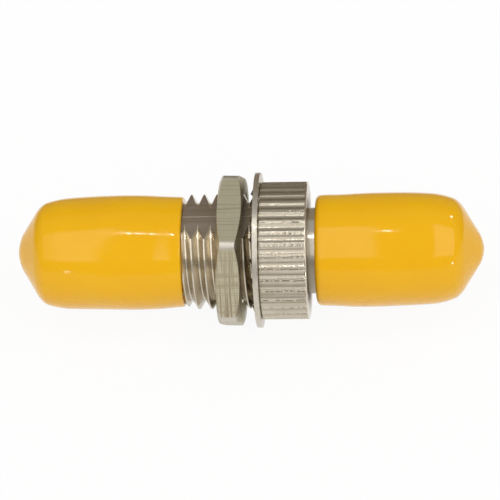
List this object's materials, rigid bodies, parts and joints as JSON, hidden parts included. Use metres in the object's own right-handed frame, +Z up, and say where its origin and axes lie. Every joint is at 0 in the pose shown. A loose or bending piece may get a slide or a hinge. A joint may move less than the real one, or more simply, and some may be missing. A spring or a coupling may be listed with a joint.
{
  "type": "bayonet fibre adapter",
  "caption": "Metal bulkhead adapter joining two bayonet fibre plugs, with threaded D-flat shank, panel nut, lock washer, knurled collar and soft dust caps.",
  "frame": {"origin": "on the axis, in the collar face that the panel is clamped against", "axes": "+X along the axis from the threaded end to the knurled end, +Z up, the way the D-flat and both keyways face"},
  "size_m": [0.0387, 0.0136, 0.0132],
  "materials": {
    "nickel_plated_brass": "bright nickel plating",
    "nickel_plated_steel": "stamped and nickel plated",
    "phosphor_bronze": "drawn tube",
    "yellow_vinyl": "dip moulded, glossy"
  },
  "bodies": {
    "adapter": {"threaded_body": "nickel_plated_brass", "knurled_body": "nickel_plated_brass", "alignment_sleeve": "phosphor_bronze"},
    "washer": {"lock_washer": "nickel_plated_steel"},
    "nut": {"hex_nut": "nickel_plated_brass"},
    "left_cap": {"left_dust_cap": "yellow_vinyl"},
    "right_cap": {"right_dust_cap": "yellow_vinyl"}
  },
  "joints": [
    {"name": "left_cap_pull", "type": "slide", "parent": "adapter", "child": "left_cap", "axis": [-1, 0, 0], "range_m": [0, 0.016]},
    {"name": "right_cap_pull", "type": "slide", "parent": "adapter", "child": "right_cap", "axis": [1, 0, 0], "range_m": [0, 0.016]},
    {"name": "nut_travel", "type": "slide", "parent": "adapter", "child": "washer", "axis": [-1, 0, 0], "range_m": [0, 0.00238]},
    {"name": "nut_turn", "type": "hinge", "parent": "washer", "child": "nut", "pos_m": [-0.00258, 0, 0], "axis": [-1, 0, 0], "range_deg": [0, 810]}
  ],
  "couplings": [
    {"joint": "nut_turn", "follows": "nut_travel", "rad_per_m": 5936.9}
  ]
}
